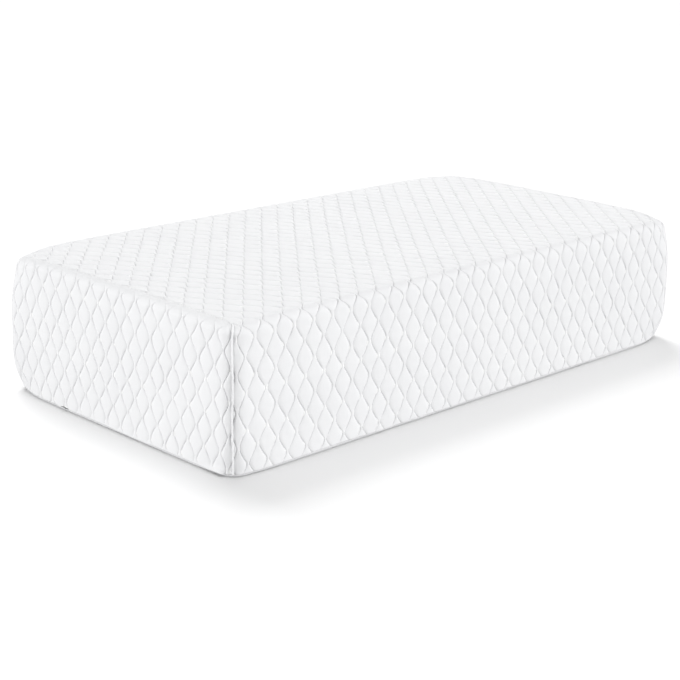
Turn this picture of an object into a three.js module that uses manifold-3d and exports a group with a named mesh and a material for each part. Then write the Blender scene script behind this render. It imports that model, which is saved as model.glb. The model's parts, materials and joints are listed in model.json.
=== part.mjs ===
// Twin memory foam mattress in a quilted knit cover that closes with a zip round its bottom edge.
// Millimetres, +Z up. The origin is the middle of the footprint, on the surface the mattress lies on.
// +X runs along the length. The end with the zip slider, called the head end, faces -X.
import * as THREE from 'three';
import { mergeVertices } from 'three/addons/utils/BufferGeometryUtils.js';
import Module from 'manifold-3d';

const wasm = await Module();
wasm.setup();

// Overall size
const LENGTH = 1905;
const WIDTH = 991;
const HEIGHT = 406;

// Outer form of the cover
const CORNER_RADIUS = 45; // upright corners, seen from above
const TOP_RADIUS = 28; // the rounded ridge round the top
const HEM_RADIUS = 8; // the cover curls in under its lower edge
const HEM_Z = 14; // lowest point of the hem
const GAP = 0.3; // between pieces that touch

// Thickness of each cloth layer, from the outside in
const KNIT = 2.6;
const FILL = 6.2;
const BACKING = 0.7;
const SOCK = 2;
const SOCK_EASE = 0.5; // room for the slider's back plate between quilt and sock
const SEAM_WIDTH = 2.4;
const SEAM_PROUD = 0.8;
const SOCK_CAP = 60; // how far each end closure reaches along the sleeve

// Foam core, top down; the support base takes what is left of the height
const MEMORY_FOAM = 101.6;
const TRANSITION_FOAM = 76.2;
const FOAM_EDGE = 4; // eased lower edge of the core

// Bottom panel: a shallow tray that turns up to meet the zip
const TRAY_INSET = 6.6;
const TRAY_FLOOR = 2.2;
const TRAY_WALL = 1.4;
const TRAY_RIM_Z = 3.4;
const TRAY_EDGE = 1.6;

// Zip, in the recess under the hem
const ZIP_Z = 8.6; // middle of the chain
const ZIP_SLOT = 1.2; // between the two half chains, where the slider's web runs
const COIL_HEIGHT = 2.4; // one half chain
const COIL_INSET = 5.9;
const COIL_DEPTH = 2.1;
const TAPE_INSET = 8.3;
const TAPE_DEPTH = 0.6;
const TAPE_TOP_Z = 16.6;
const TAPE_LOW_Z = 2.5;
const ZIP_START_Y = 229; // the chain runs from here towards -Y, all the way round
const ZIP_END_Y = 266.3; // and ends here, beside its start
const STOP_LENGTH = 3.7;
const TAPE_SPARE = 12; // tape beyond each end of the chain

// Slider and its pull tab, at the closed end of the zip
const SLIDER_Y = 220;
const SLIDER_LENGTH = 14;
const SLIDER_NOSE = 4.7; // half height at the wide end
const SLIDER_TAIL = 4.3; // half height at the narrow end
const SLIDER_FACE = 4.2; // how far in from the end face its front plate lies
const PLATE = 1.2;
const BACK_PLATE = 1.0;
const BACK_PLATE_INSET = 9.3;
const FLANGE_INNER = 3.4; // half the space between the flanges
const FLANGE_DEPTH = 2.4;
const WEB = 0.6;
const BRIDGE_LENGTH = 12;
const BRIDGE_WIDTH = 2.2;
const BRIDGE_BAR = 1.0;
const BRIDGE_INSET = 1.4;
const TAB_PIVOT_INSET = 3.3;
const TAB_LENGTH = 29;
const TAB_WIDTH = 6;
const TAB_THICKNESS = 1.0;
const TAB_BAR = 0.5; // half the thickness of the bar under the bridge
const TAB_EYE_LENGTH = 7.0;
const TAB_EYE_WIDTH = 3.4;

// Facets in a quarter turn
const CORNER_STEPS = 5;
const TOP_STEPS = 4;
const HEM_STEPS = 2;

const FAR = 3000; // larger than the mattress, for cutting solids

function solidOf(geometry) {
  const bare = geometry.index ? geometry.clone() : geometry;
  bare.deleteAttribute('normal');
  bare.deleteAttribute('uv');
  const merged = mergeVertices(bare);
  return new wasm.Manifold(new wasm.Mesh({
    numProp: 3,
    vertProperties: new Float32Array(merged.attributes.position.array),
    triVerts: new Uint32Array(merged.index.array),
  }));
}

function geometryOf(solid) {
  const { vertProperties, triVerts } = solid.getMesh();
  const geometry = new THREE.BufferGeometry();
  geometry.setAttribute('position', new THREE.BufferAttribute(vertProperties, 3));
  geometry.setIndex(new THREE.BufferAttribute(triVerts, 1));
  geometry.computeVertexNormals();
  return geometry;
}

// The footprint drawn in by `inset`, with round corners.
function outline(inset) {
  const radius = CORNER_RADIUS - inset;
  const points = [];
  [[1, -1], [1, 1], [-1, 1], [-1, -1]].forEach(([sx, sy], quarter) => {
    const cx = sx * (LENGTH / 2 - CORNER_RADIUS);
    const cy = sy * (WIDTH / 2 - CORNER_RADIUS);
    for (let i = 0; i <= CORNER_STEPS; i += 1) {
      const turn = (quarter - 1 + i / CORNER_STEPS) * Math.PI / 2;
      points.push(new THREE.Vector2(cx + radius * Math.cos(turn), cy + radius * Math.sin(turn)));
    }
  });
  return new THREE.Shape(points);
}

// A block on that footprint, with both its upper and its lower edge rounded alike.
function block(inset, bottom, top, radius = 0, steps = 1) {
  const geometry = new THREE.ExtrudeGeometry(outline(inset), {
    depth: top - bottom - 2 * radius,
    bevelEnabled: radius > 0,
    bevelThickness: radius,
    bevelSize: radius,
    bevelOffset: -radius,
    bevelSegments: steps,
  });
  return solidOf(geometry.translate(0, 0, bottom + radius));
}

// A block whose lower edge and upper edge have radii of their own.
function roundedBlock(inset, bottom, top, bottomRadius, topRadius) {
  const upper = block(inset, bottom - FAR, top, topRadius, TOP_STEPS);
  const lower = block(inset, bottom, top + FAR, bottomRadius, HEM_STEPS);
  return upper.intersect(lower);
}

// The cover's outer form drawn in by `inset`; negative values stand proud.
function coverForm(inset) {
  const hemRadius = Math.max(HEM_RADIUS - inset, 0);
  return roundedBlock(inset, HEM_Z + Math.max(inset, 0), HEIGHT - inset, hemRadius, TOP_RADIUS - inset);
}

// The same form with no floor, to hollow a layer out of another.
function coverCavity(inset) {
  return block(inset, HEM_Z - FAR, HEIGHT - inset, TOP_RADIUS - inset, TOP_STEPS);
}

function box(low, high) {
  const size = high.map((value, axis) => value - low[axis]);
  const middle = high.map((value, axis) => (value + low[axis]) / 2);
  return solidOf(new THREE.BoxGeometry(...size).translate(...middle));
}

// Everything on the side of a plane that its normal points to.
function halfSpace(normal, point) {
  const turn = new THREE.Quaternion().setFromUnitVectors(
    new THREE.Vector3(0, 0, 1),
    new THREE.Vector3(...normal).normalize(),
  );
  const half = new THREE.BoxGeometry(2 * FAR, 2 * FAR, 2 * FAR).translate(0, 0, FAR);
  return solidOf(half.applyQuaternion(turn).translate(...point));
}

// What the end panel on side `sign` covers: it is bounded by the two upright corners and the top ridge,
// each split along its middle, and moved outwards or inwards by `shift`.
function endRegion(sign, shift) {
  const away = shift * Math.SQRT2;
  const cornerX = sign * (LENGTH / 2 - CORNER_RADIUS + away);
  const ridgeX = sign * (LENGTH / 2 - TOP_RADIUS + away);
  const cornerY = WIDTH / 2 - CORNER_RADIUS;
  return halfSpace([sign, -1, 0], [cornerX, cornerY, 0])
    .intersect(halfSpace([sign, 1, 0], [cornerX, -cornerY, 0]))
    .intersect(halfSpace([sign, 0, -1], [ridgeX, 0, HEIGHT - TOP_RADIUS]));
}

const ends = { head: -1, foot: 1 };
const panelRegion = {};
for (const [end, sign] of Object.entries(ends)) {
  panelRegion[end] = endRegion(sign, SEAM_WIDTH / 2 + GAP);
}
const wrapCut = endRegion(-1, -SEAM_WIDTH / 2 - GAP).add(endRegion(1, -SEAM_WIDTH / 2 - GAP));

// One layer of the quilted cover, cut into the wrap over top and long sides and the two end panels.
function coverLayer(shell) {
  return {
    wrap: shell.subtract(wrapCut),
    head: shell.intersect(panelRegion.head),
    foot: shell.intersect(panelRegion.foot),
  };
}

function knitShell() {
  const opening = block(HEM_RADIUS, HEM_Z - FAR, HEM_Z + HEM_RADIUS);
  return coverForm(0).subtract(coverForm(KNIT)).subtract(opening);
}

function layerShell(inset, thickness) {
  return coverForm(inset).subtract(coverCavity(inset + thickness));
}

// The sewn seam round an end: up one corner, along the ridge and down the other corner.
function endSeam(sign) {
  const opening = block(HEM_RADIUS, HEM_Z - FAR, HEM_Z + HEM_RADIUS);
  const skin = coverForm(-SEAM_PROUD).subtract(coverForm(KNIT)).subtract(opening);
  const band = endRegion(sign, -SEAM_WIDTH / 2).subtract(endRegion(sign, SEAM_WIDTH / 2));
  return skin.intersect(band);
}

const fillInset = KNIT + GAP;
const backingInset = fillInset + FILL + GAP;
const sockInset = backingInset + BACKING + SOCK_EASE;
const coreInset = sockInset + SOCK + GAP;
const sockFloor = TRAY_FLOOR + GAP;
const coreFloor = sockFloor + SOCK + GAP;
const coreTop = HEIGHT - coreInset;

// The fire barrier sock: a knitted sleeve along the length, with a closure on each end.
function sockShell() {
  const outer = roundedBlock(sockInset, sockFloor, HEIGHT - sockInset, FOAM_EDGE + SOCK,
    TOP_RADIUS - sockInset);
  const inset = sockInset + SOCK;
  return outer.subtract(roundedBlock(inset, sockFloor + SOCK, HEIGHT - inset, FOAM_EDGE,
    TOP_RADIUS - inset));
}

function slab(bottom, top) {
  return box([-FAR, -FAR, bottom], [FAR, FAR, top]);
}

function foamLayers() {
  const core = roundedBlock(coreInset, coreFloor, coreTop, FOAM_EDGE, TOP_RADIUS - coreInset);
  const memoryFloor = coreTop - MEMORY_FOAM;
  const transitionTop = memoryFloor - GAP;
  const transitionFloor = transitionTop - TRANSITION_FOAM;
  return {
    memory: core.intersect(slab(memoryFloor, HEIGHT)),
    transition: core.intersect(slab(transitionFloor, transitionTop)),
    base: core.intersect(slab(0, transitionFloor - GAP)),
  };
}

function bottomPanel() {
  const tray = roundedBlock(TRAY_INSET, 0, TRAY_RIM_Z, TRAY_EDGE, 0);
  return tray.subtract(block(TRAY_INSET + TRAY_WALL, TRAY_FLOOR, FAR));
}

// A band round the mattress, left open at the head end from y = openFrom to y = openTo.
function bandRound(inset, depth, bottom, top, openFrom, openTo) {
  const ring = block(inset, bottom, top).subtract(block(inset + depth, bottom - 1, top + 1));
  return ring.subtract(box([-LENGTH, openFrom, bottom - 1], [0, openTo, top + 1]));
}

function zipTape(bottom, top) {
  return bandRound(TAPE_INSET, TAPE_DEPTH, bottom, top, ZIP_START_Y + TAPE_SPARE,
    ZIP_END_Y - TAPE_SPARE);
}

function zipCoil(bottom) {
  return bandRound(COIL_INSET, COIL_DEPTH, bottom, bottom + COIL_HEIGHT, ZIP_START_Y, ZIP_END_Y);
}

// A box at the head end, placed by how far in from the end face it lies.
function headBox(insetFrom, insetTo, yFrom, yTo, zFrom, zTo) {
  const face = -LENGTH / 2;
  return box([face + insetFrom, yFrom, zFrom], [face + insetTo, yTo, zTo]);
}

function zipStop(yFrom) {
  const reach = ZIP_SLOT / 2 + COIL_HEIGHT + 0.2;
  return headBox(COIL_INSET - 0.2, COIL_INSET + COIL_DEPTH, yFrom, yFrom + STOP_LENGTH,
    ZIP_Z - reach, ZIP_Z + reach);
}

// The fabric cap sewn over the two ends of the zip.
function zipEndCap() {
  const yFrom = ZIP_START_Y + STOP_LENGTH + 2 * GAP;
  const yTo = ZIP_END_Y - STOP_LENGTH - 2 * GAP;
  const shape = new THREE.Shape();
  const half = (yTo - yFrom) / 2;
  const tall = 4.2;
  const round = 2;
  shape.moveTo(-half + round, -tall);
  shape.lineTo(half - round, -tall);
  shape.quadraticCurveTo(half, -tall, half, -tall + round);
  shape.lineTo(half, tall - round);
  shape.quadraticCurveTo(half, tall, half - round, tall);
  shape.lineTo(-half + round, tall);
  shape.quadraticCurveTo(-half, tall, -half, tall - round);
  shape.lineTo(-half, -tall + round);
  shape.quadraticCurveTo(-half, -tall, -half + round, -tall);
  const depth = TAPE_INSET - GAP - SLIDER_FACE;
  const cap = new THREE.ExtrudeGeometry(shape, { depth, bevelEnabled: false, curveSegments: 3 });
  return atHead(solidOf(cap.translate(0, 0, -depth)), SLIDER_FACE, (yFrom + yTo) / 2);
}

// Turns a solid drawn flat (x along -Y, y up, z out of the end face) and sets it on the zip line.
function atHead(solid, inset, y) {
  const place = new THREE.Matrix4().makeBasis(
    new THREE.Vector3(0, -1, 0),
    new THREE.Vector3(0, 0, 1),
    new THREE.Vector3(-1, 0, 0),
  ).setPosition(-LENGTH / 2 + inset, y, ZIP_Z);
  return solidOf(geometryOf(solid).applyMatrix4(place));
}

function plate(depth, z) {
  const half = SLIDER_LENGTH / 2;
  const shape = new THREE.Shape([
    new THREE.Vector2(-half, -SLIDER_NOSE + 1.5),
    new THREE.Vector2(-half + 1.5, -SLIDER_NOSE),
    new THREE.Vector2(-1, -SLIDER_NOSE),
    new THREE.Vector2(half - 1, -SLIDER_TAIL),
    new THREE.Vector2(half, -SLIDER_TAIL + 1),
    new THREE.Vector2(half, SLIDER_TAIL - 1),
    new THREE.Vector2(half - 1, SLIDER_TAIL),
    new THREE.Vector2(-1, SLIDER_NOSE),
    new THREE.Vector2(-half + 1.5, SLIDER_NOSE),
    new THREE.Vector2(-half, SLIDER_NOSE - 1.5),
  ]);
  const geometry = new THREE.ExtrudeGeometry(shape, { depth, bevelEnabled: false });
  return solidOf(geometry.translate(0, 0, z));
}

function flatBox(x, y, z) {
  return box([x[0], y[0], z[0]], [x[1], y[1], z[1]]);
}

// Front plate with its flanges, back plate, the web that joins them and the bridge for the tab.
function zipSlider() {
  const half = SLIDER_LENGTH / 2;
  const deep = BACK_PLATE_INSET + BACK_PLATE - SLIDER_FACE;
  const front = plate(PLATE + FLANGE_DEPTH, -PLATE - FLANGE_DEPTH);
  const channel = flatBox([-FAR, FAR], [-FLANGE_INNER, FLANGE_INNER], [-FAR, -PLATE]);
  const back = plate(BACK_PLATE, -deep);
  const web = flatBox([-half + 2, -half + 6], [-WEB / 2, WEB / 2], [-deep, -PLATE / 2]);
  const rise = SLIDER_FACE - BRIDGE_INSET;
  const wide = [-BRIDGE_WIDTH / 2, BRIDGE_WIDTH / 2];
  const reach = BRIDGE_LENGTH / 2;
  const bridge = flatBox([-reach, reach], wide, [-PLATE / 2, rise])
    .subtract(flatBox([-reach + BRIDGE_BAR, reach - BRIDGE_BAR], [-FAR, FAR], [0, rise - BRIDGE_BAR]));
  const whole = front.subtract(channel).add(back).add(web).add(bridge);
  return atHead(whole, SLIDER_FACE, SLIDER_Y);
}

// The tab lies towards +Y over the closed end; its bar passes under the slider's bridge.
function zipPullTab() {
  const shape = new THREE.Shape();
  const half = TAB_WIDTH / 2;
  const end = -TAB_LENGTH;
  shape.moveTo(TAB_BAR, -half + 0.6);
  shape.lineTo(TAB_BAR, half - 0.6);
  shape.lineTo(-TAB_EYE_LENGTH - 2, half);
  shape.lineTo(end + 3, half - 0.4);
  shape.absarc(end + half - 0.4, 0, half - 0.4, Math.PI / 2, 3 * Math.PI / 2);
  shape.lineTo(-TAB_EYE_LENGTH - 2, -half);
  const eye = TAB_EYE_WIDTH / 2;
  shape.holes.push(new THREE.Path([
    new THREE.Vector2(-TAB_BAR, -eye),
    new THREE.Vector2(-TAB_BAR, eye),
    new THREE.Vector2(-TAB_EYE_LENGTH, eye),
    new THREE.Vector2(-TAB_EYE_LENGTH, -eye),
  ]));
  const tab = new THREE.ExtrudeGeometry(shape, {
    depth: TAB_THICKNESS,
    bevelEnabled: false,
    curveSegments: 6,
  });
  return atHead(solidOf(tab.translate(0, 0, -TAB_THICKNESS / 2)), TAB_PIVOT_INSET, SLIDER_Y);
}

const finish = {
  knit: { color: 0xf4f4f5, roughness: 0.9, metalness: 0 },
  fill: { color: 0xfbfbf8, roughness: 1, metalness: 0 },
  backing: { color: 0xececea, roughness: 0.95, metalness: 0 },
  base: { color: 0xe6e7ea, roughness: 0.85, metalness: 0 },
  sock: { color: 0xf6f4ee, roughness: 0.95, metalness: 0 },
  memory: { color: 0xf5efd9, roughness: 0.95, metalness: 0 },
  transition: { color: 0xd8e2ea, roughness: 0.95, metalness: 0 },
  support: { color: 0xf3f0e6, roughness: 0.95, metalness: 0 },
  tape: { color: 0xefeff0, roughness: 0.8, metalness: 0 },
  coil: { color: 0xf3f3f3, roughness: 0.45, metalness: 0 },
  metal: { color: 0x8d8f92, roughness: 0.35, metalness: 1 },
};

const mattress = new THREE.Group();

function place(name, solid, look) {
  const mesh = new THREE.Mesh(geometryOf(solid), new THREE.MeshStandardMaterial(finish[look]));
  mesh.name = name;
  mattress.add(mesh);
}

const foam = foamLayers();
place('support_foam_base', foam.base, 'support');
place('transition_foam_layer', foam.transition, 'transition');
place('memory_foam_layer', foam.memory, 'memory');

const sock = sockShell();
const sleeveEnd = LENGTH / 2 - SOCK_CAP;
place('barrier_sock', sock.intersect(box([-sleeveEnd, -FAR, -FAR], [sleeveEnd, FAR, FAR])), 'sock');
for (const [end, sign] of Object.entries(ends)) {
  const beyond = halfSpace([sign, 0, 0], [sign * (sleeveEnd + GAP), 0, 0]);
  place(`barrier_sock_${end}_closure`, sock.intersect(beyond), 'sock');
}

const layers = {
  knit: coverLayer(knitShell()),
  fill: coverLayer(layerShell(fillInset, FILL)),
  backing: coverLayer(layerShell(backingInset, BACKING)),
};
for (const [kind, pieces] of Object.entries(layers)) {
  place(`cover_wrap_${kind}`, pieces.wrap, kind);
  place(`head_panel_${kind}`, pieces.head, kind);
  place(`foot_panel_${kind}`, pieces.foot, kind);
}
place('head_seam', endSeam(-1), 'knit');
place('foot_seam', endSeam(1), 'knit');
place('bottom_panel', bottomPanel(), 'base');

place('zip_tape_upper', zipTape(ZIP_Z + ZIP_SLOT / 2, TAPE_TOP_Z), 'tape');
place('zip_tape_lower', zipTape(TAPE_LOW_Z, ZIP_Z - ZIP_SLOT / 2), 'tape');
place('zip_coil_upper', zipCoil(ZIP_Z + ZIP_SLOT / 2), 'coil');
place('zip_coil_lower', zipCoil(ZIP_Z - ZIP_SLOT / 2 - COIL_HEIGHT), 'coil');
place('zip_start_stop', zipStop(ZIP_START_Y + GAP), 'metal');
place('zip_end_stop', zipStop(ZIP_END_Y - GAP - STOP_LENGTH), 'metal');
place('zip_end_cap', zipEndCap(), 'tape');
place('zip_slider', zipSlider(), 'metal');
place('zip_pull_tab', zipPullTab(), 'metal');

export default mattress;
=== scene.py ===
"""A white memory foam mattress in its quilted knit cover, on a pale studio floor.

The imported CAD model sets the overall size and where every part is. This script sews the cover
around it: the quilted wrap and end panels, seams, bottom cloth and zip, and the foam core inside.
"""

import json
import math

import bmesh
import bpy
import numpy as np
from mathutils import Matrix, Vector


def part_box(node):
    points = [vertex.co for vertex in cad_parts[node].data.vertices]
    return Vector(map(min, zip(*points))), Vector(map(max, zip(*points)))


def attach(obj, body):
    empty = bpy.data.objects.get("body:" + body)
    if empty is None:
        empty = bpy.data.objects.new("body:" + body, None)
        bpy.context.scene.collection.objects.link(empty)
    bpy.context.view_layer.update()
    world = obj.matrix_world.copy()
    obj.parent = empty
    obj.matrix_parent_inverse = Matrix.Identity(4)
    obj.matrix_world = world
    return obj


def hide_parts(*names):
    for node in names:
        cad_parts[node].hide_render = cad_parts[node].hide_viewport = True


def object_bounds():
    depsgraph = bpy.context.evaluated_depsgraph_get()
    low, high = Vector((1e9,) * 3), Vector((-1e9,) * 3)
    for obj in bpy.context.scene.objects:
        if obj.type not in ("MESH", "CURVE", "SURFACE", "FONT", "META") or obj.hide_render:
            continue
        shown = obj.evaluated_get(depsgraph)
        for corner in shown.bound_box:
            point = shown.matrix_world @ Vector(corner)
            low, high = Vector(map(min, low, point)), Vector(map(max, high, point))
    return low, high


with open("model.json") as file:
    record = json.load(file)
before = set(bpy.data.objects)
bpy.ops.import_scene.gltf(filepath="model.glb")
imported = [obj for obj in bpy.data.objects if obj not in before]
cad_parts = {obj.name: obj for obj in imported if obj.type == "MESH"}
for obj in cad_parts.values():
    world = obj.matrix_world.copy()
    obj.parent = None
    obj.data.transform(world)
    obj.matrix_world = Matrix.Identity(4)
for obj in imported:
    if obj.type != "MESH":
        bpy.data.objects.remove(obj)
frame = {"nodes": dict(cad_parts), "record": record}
cad_low, cad_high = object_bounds()

# ---------------------------------------------------------------- sizes, in metres
MM = 0.001
HALF_LENGTH = (cad_high.x - cad_low.x) / 2
HALF_WIDTH = (cad_high.y - cad_low.y) / 2
HEIGHT = cad_high.z
CORNER_R = 40 * MM  # upright corners
RIDGE_R = 28 * MM  # ridge round the top
HEM_SAG = 7 * MM  # the cover hangs a little over the zip
HEM_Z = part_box("head_panel_knit")[0].z - HEM_SAG
HEM_R = 3 * MM  # of the hem's curl
SIDE_DROP = HEIGHT - HEM_Z - HEM_R  # from the ridge down to where the hem curls in
HEM_ARC = HEM_R * math.pi / 2
FULL_DROP = SIDE_DROP + HEM_ARC
HEM_SWAY = 1.3 * MM  # how far the hem is from straight
SLIDER_LIFT = 6.5 * MM  # how far it is lifted over the parked slider

# The quilting: upright stitch lines that wave in turn towards and away from each other
CHANNEL = 3.2 * MM  # from a stitch line to where the cloth is level
CHANNEL_DEPTH = 2.0 * MM
DOME = 1.8 * MM  # how much the middle of a cell stands over its edge
NECK_DROP = 0.7 * MM  # how much lower the neck between two cells is
WAVE = 0.172  # how far a line waves, of a column pitch
WAVE_PEAK = 0.06  # straightens the lines between their turns
WAVE_SKEW = -0.06  # makes every other row of necks longer and wider
WRAP_PITCH = 68.15 * MM
WRAP_START = -HALF_LENGTH + 50.5 * MM
RIDGE_PHASE = 0.57  # of a row, where the near ridge comes
SIDE_ROW = 95.6 * MM
TOP_ROW = 75.8 * MM
LEAN = 0.065  # the columns lean a little on the sides
BOW = 8 * MM  # the columns shift towards the foot at either end
FAN = 0.03  # how much more they lean towards the foot
END_PITCH = 64.6 * MM
END_START = -HALF_WIDTH + 45.4 * MM
END_ROW = 90.8 * MM
END_FIRST_ROW = 24 * MM
END_LEAN = 0.023
END_FAN = -0.03
END_RISE = 8 * MM  # the rows curve up in the middle
SEAM_INSET = 24 * MM  # the end panels reach over the ridge this far
SEAM_GAP = 0.9 * MM  # from a panel's edge to the middle of the seam
SEAM_TUCK = 2.3 * MM  # how far the cloth dips into the seam at the corners
RIDGE_TUCK = 0.9 * MM  # and along the ridge
SEAM_REACH = 11 * MM  # how far from the seam the dip is felt
GATHER = 2.2 * MM  # depth of the gathers beside a seam
GATHER_PITCH = 27 * MM
GATHER_SLANT = 0.9
RIDGE_STEP = 4.6 * MM  # rows of points on the ridge are at least this close

# How the soft corners draw in
TOP_PULL = 20 * MM
TOP_DROP = 95 * MM  # how far down from the top that is felt
LOW_PULL = 30 * MM
LOW_RISE = 45 * MM  # how far up from the floor
PULL_REACH = 90 * MM  # and how far along the faces
CORNER_SINK = 13 * MM
FIRM_CORNER = 0.45  # how much of this the near and far corners do, next to the other two
CROWN = 4.5 * MM  # how far the middle of the top bulges up
CROWN_REACH = 170 * MM


# ---------------------------------------------------------------- form of the mattress
def ripple(x, y, size, seed):
    """Smooth unevenness between about -1 and 1, with bumps about `size` across."""
    draw = np.random.default_rng(seed)
    total = np.zeros_like(x)
    waves = 9
    peak = 1.6  # of the sum, in standard deviations
    for _ in range(waves):
        turn = draw.uniform(0, 2 * math.pi)
        rate = 2 * math.pi / (size * draw.uniform(0.7, 1.6))
        start = draw.uniform(0, 2 * math.pi)
        total += np.sin(rate * (x * math.cos(turn) + y * math.sin(turn)) + start)
    return total / math.sqrt(waves / 2) / peak


def settle(points):
    """Crowns the top and draws in the soft corners, at the top and at the bottom."""
    x, y, z = points.T.copy()
    near = np.exp(-(((HALF_LENGTH - abs(x)) / PULL_REACH) ** 2))
    near = near * np.exp(-(((HALF_WIDTH - abs(y)) / PULL_REACH) ** 2))
    near = near * np.where(x * y > 0, FIRM_CORNER, 1)
    upper = np.exp(-(((HEIGHT - z) / TOP_DROP) ** 2))
    lower = np.exp(-((np.maximum(z, 0) / LOW_RISE) ** 1.6))
    pull = near * (TOP_PULL * upper + LOW_PULL * lower) / math.sqrt(2)
    from_corner = (HALF_LENGTH - abs(x)) ** 2 + (HALF_WIDTH - abs(y)) ** 2
    full = 1 - np.exp(-(from_corner / CROWN_REACH**2))
    rise = CROWN * full * (z / HEIGHT) ** 3 - CORNER_SINK * near * upper
    return np.stack([x - np.sign(x) * pull, y - np.sign(y) * pull, z + rise], axis=1)


def ridge(drop):
    """(inset, height, how far the surface has turned up) at `drop` from the ridge line.

    drop is positive down the side and negative over the top.
    """
    turn = np.clip(math.pi / 4 * (1 - drop / RIDGE_R), 0, math.pi / 2)
    inset = RIDGE_R * (1 - np.cos(turn))
    inset = np.where(drop < -RIDGE_R, -drop, inset)
    height = HEIGHT - RIDGE_R + RIDGE_R * np.sin(turn)
    height = np.where(drop > RIDGE_R, HEIGHT - drop, height)
    curl = np.clip((drop - SIDE_DROP) / HEM_ARC, 0, 1) * math.pi / 2
    low = drop > SIDE_DROP
    inset = np.where(low, HEM_R * (1 - np.cos(curl)), inset)
    height = np.where(low, HEM_Z + HEM_R - HEM_R * np.sin(curl), height)
    return inset, height, np.where(low, -curl, turn)


def raised(across, up, spread, half_across, half_spread, inset, height, turn):
    """Places points whose outline direction is `spread` from one face towards the next.

    Returns (point, normal) with `across` the direction along the face and `up` the one out of it.
    """
    core_a = np.clip(abs(across), 0, half_across - CORNER_R)
    radius = CORNER_R - inset
    a = core_a + radius * np.sin(spread)
    b = half_spread - CORNER_R + radius * np.cos(spread)
    side, level = np.sign(across), np.cos(turn)
    normal = np.stack([side * np.sin(spread) * level, up * np.cos(spread) * level, np.sin(turn)])
    return np.stack([side * a, up * b, height]), normal


def wrap_form(x, s):
    """The smooth form under the wrap: x along the length, s round from hem to hem.

    s is 0 on the middle of the top.
    """
    side = np.sign(s) + (s == 0)
    drop = abs(s) - HALF_WIDTH
    inset, height, turn = ridge(drop)
    spread = math.pi / 4 * np.clip(1 - (HALF_LENGTH - abs(x)) / CORNER_R, 0, 1)
    place, normal = raised(x, side, spread, HALF_LENGTH, HALF_WIDTH, inset, height, turn)
    # On the top, square corners of the flat cloth turn into round ones.
    from_end = HALF_LENGTH - abs(x)
    hx = np.clip(1 - from_end / CORNER_R, 0, 1)
    hy = np.clip(1 + drop / CORNER_R, 0, 1)
    most = np.maximum(np.maximum(hx, hy), 1e-9)
    eighth = math.pi / 4
    angle = np.where(hy >= hx, eighth * hx / most, 2 * eighth - eighth * hy / most)
    top_inset, top_height, top_turn = ridge(-CORNER_R * (1 - most))
    radius = CORNER_R - top_inset
    flat = np.maximum(hx, hy) < 1e-6
    radius = np.where(flat, 0, radius)
    tx = np.sign(x) * (np.clip(abs(x), 0, HALF_LENGTH - CORNER_R) + radius * np.sin(angle))
    ty = side * (np.clip(abs(s), 0, HALF_WIDTH - CORNER_R) + radius * np.cos(angle))
    lie = np.where(flat, 0, np.cos(top_turn))
    top = np.stack([tx, ty, np.where(flat, HEIGHT, top_height)])
    rise = np.where(flat, 1, np.sin(top_turn))
    up = np.stack([np.sign(x) * np.sin(angle) * lie, side * np.cos(angle) * lie, rise])
    on_top = drop < 0
    return np.where(on_top, top, place).T, np.where(on_top, up, normal).T


def end_form(sign):
    """The smooth form under an end panel: y across the width, drop down from the ridge."""

    def form(y, drop):
        inset, height, turn = ridge(drop)
        spread = math.pi / 4 * np.clip(1 - (HALF_WIDTH - abs(y)) / CORNER_R, 0, 1)
        place, normal = raised(y, sign, spread, HALF_WIDTH, HALF_LENGTH, inset, height, turn)
        return place[[1, 0, 2]].T, normal[[1, 0, 2]].T

    return form


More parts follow.
